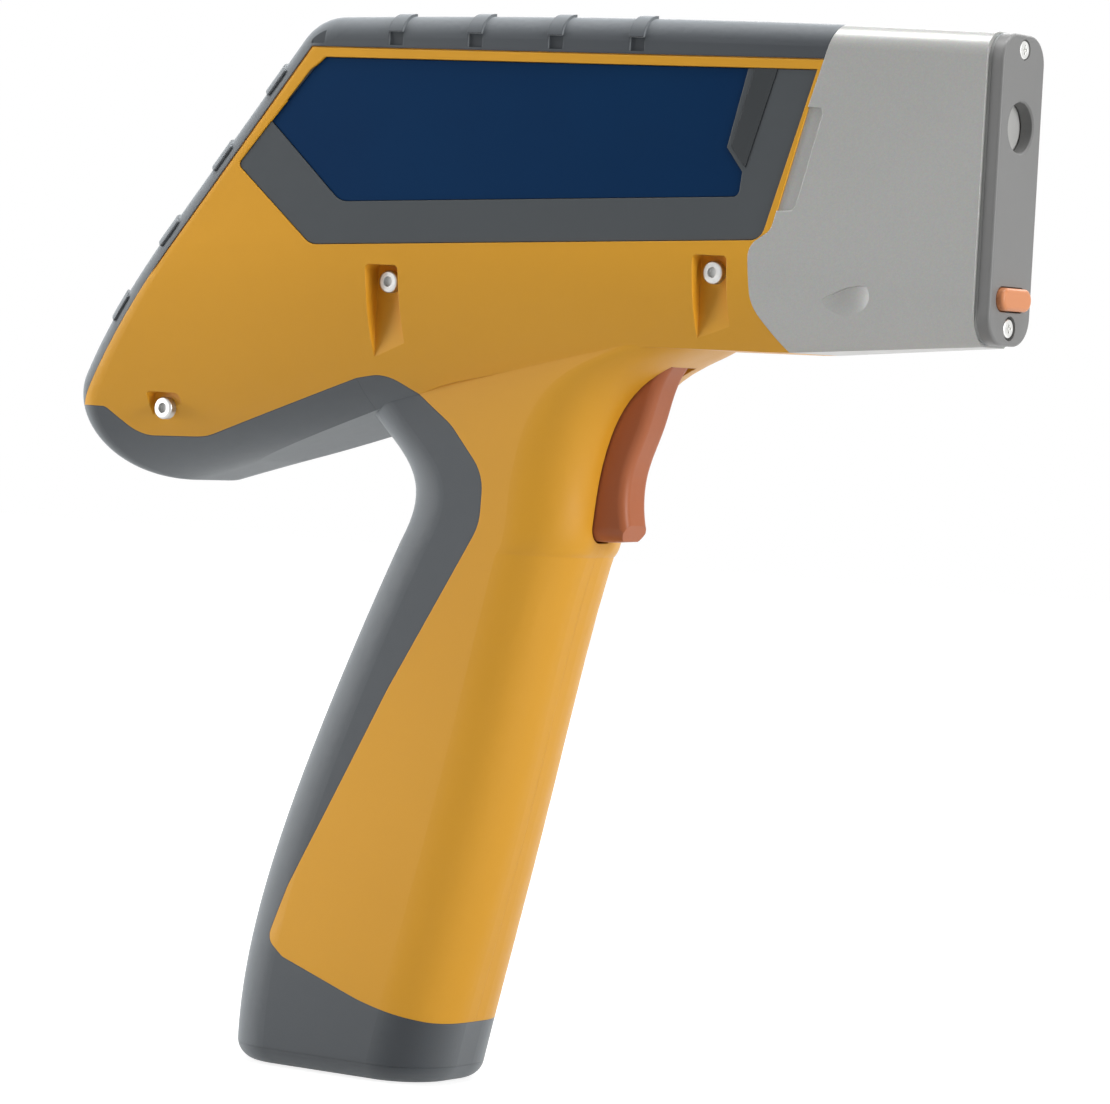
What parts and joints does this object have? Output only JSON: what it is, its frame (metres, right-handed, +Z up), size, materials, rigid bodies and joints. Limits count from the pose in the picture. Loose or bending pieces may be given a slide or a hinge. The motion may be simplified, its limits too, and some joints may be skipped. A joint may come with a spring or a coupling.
{
  "type": "handheld x-ray fluorescence analyser",
  "caption": "Pistol-grip handheld XRF analyser: wedge head with silver nose and measuring window, grey rubber bumper, sloping rear display, trigger and raked battery grip",
  "frame": {"origin": "centre of the round measuring window, on the outer face of the nose plate", "axes": "+X forward out of the nose along the measuring direction, +Y to the operator's left, +Z up"},
  "size_m": [0.2606, 0.0904, 0.2758],
  "materials": {
    "housing": "satin moulded, warm yellow",
    "overmould": "fine grained, grey",
    "nose": "satin silver paint",
    "plate": "bead blasted, anodised grey",
    "gasket": "matt, light grey",
    "film": "thin translucent film",
    "screw_light": "pale passivated",
    "screw_steel": "zinc plated",
    "bezel": "satin dark grey",
    "label": "satin film, dark blue, bare",
    "lens": "smoked light pipe",
    "panel": "satin dark grey",
    "screen_glass": "clear cover glass",
    "screen": "dark display face",
    "keys": "soft touch grey",
    "trigger": "satin moulded, copper brown",
    "proximity": "satin moulded, pale orange",
    "cover": "satin moulded, grey",
    "boards": "solder mask green",
    "black_plastic": "moulded black",
    "battery": "moulded black",
    "cable": "silicone insulation, red",
    "spring_steel": "bright spring steel",
    "machined": "machined",
    "tube": "turned"
  },
  "bodies": {
    "body": {"housing_right": "housing", "housing_left": "housing", "head_bumper": "overmould", "lobe_cover": "overmould", "grip_overmould": "overmould", "nose_shell": "nose", "nose_plate": "plate", "nose_gasket": "gasket", "window_film": "film", "plate_screw_upper": "screw_light", "plate_screw_lower": "screw_light", "housing_screw_front": "screw_steel", "housing_screw_middle": "screw_steel", "housing_screw_rear": "screw_steel", "trigger_pin": "screw_steel", "side_bezel_right": "bezel", "side_bezel_left": "bezel", "side_label_right": "label", "side_label_left": "label", "indicator_lens_right": "lens", "indicator_lens_left": "lens", "control_panel": "panel", "display_glass": "screen_glass", "display_module": "screen", "display_board": "boards", "keypad_board": "boards", "main_board": "boards", "signal_board": "boards", "indicator_board_right": "boards", "indicator_board_left": "boards", "proximity_switch": "black_plastic", "trigger_switch": "black_plastic", "battery_contacts": "black_plastic", "beeper": "black_plastic", "high_voltage_supply": "black_plastic", "battery_pack": "battery", "high_voltage_cable": "cable", "proximity_spring": "spring_steel", "trigger_spring": "spring_steel", "collimator_block": "machined", "tube_clamp": "machined", "internal_chassis": "machined", "xray_tube": "tube", "detector_module": "tube", "filter_motor": "tube"},
    "trigger": {"trigger": "trigger"},
    "proximity_button": {"proximity_button": "proximity"},
    "power_button": {"power_button": "keys"},
    "enter_button": {"enter_button": "keys"},
    "nav_pad": {"nav_pad": "keys"},
    "nav_gimbal": {"nav_gimbal": "spring_steel"},
    "battery_cover": {"battery_cover": "cover"},
    "filter_wheel": {"filter_wheel": "machined"}
  },
  "joints": [
    {"name": "trigger_pull", "type": "hinge", "parent": "body", "child": "trigger", "pos_m": [-0.099, 0, -0.055], "axis": [0, 1, 0], "range_deg": [0, 6.5], "stiffness_Nm_per_rad": 0.8, "springref_deg": -6.88},
    {"name": "proximity_press", "type": "slide", "parent": "body", "child": "proximity_button", "axis": [-1, 0, 0], "range_m": [0, 0.002], "stiffness_N_per_m": 400, "springref_m": -0.001},
    {"name": "power_press", "type": "slide", "parent": "body", "child": "power_button", "axis": [0.809, 0, -0.5878], "range_m": [0, 0.0008], "stiffness_N_per_m": 1500, "springref_m": -0.0003},
    {"name": "enter_press", "type": "slide", "parent": "body", "child": "enter_button", "axis": [0.809, 0, -0.5878], "range_m": [0, 0.0008], "stiffness_N_per_m": 1500, "springref_m": -0.0003},
    {"name": "nav_tilt_up_down", "type": "hinge", "parent": "body", "child": "nav_gimbal", "pos_m": [-0.23613, 0, -0.05193], "axis": [0, -1, 0], "range_deg": [-4, 4], "stiffness_Nm_per_rad": 0.17},
    {"name": "nav_tilt_left_right", "type": "hinge", "parent": "nav_gimbal", "child": "nav_pad", "pos_m": [-0.23613, 0, -0.05193], "axis": [0.5878, 0, 0.809], "range_deg": [-4, 4], "stiffness_Nm_per_rad": 0.17},
    {"name": "battery_cover_slide", "type": "slide", "parent": "body", "child": "battery_cover", "axis": [-1, 0, 0], "range_m": [0, 0.012]},
    {"name": "filter_wheel_spin", "type": "hinge", "parent": "body", "child": "filter_wheel", "pos_m": [-0.01927, 0, -0.02406], "axis": [0.788, 0, 0.6157], "continuous": true}
  ]
}
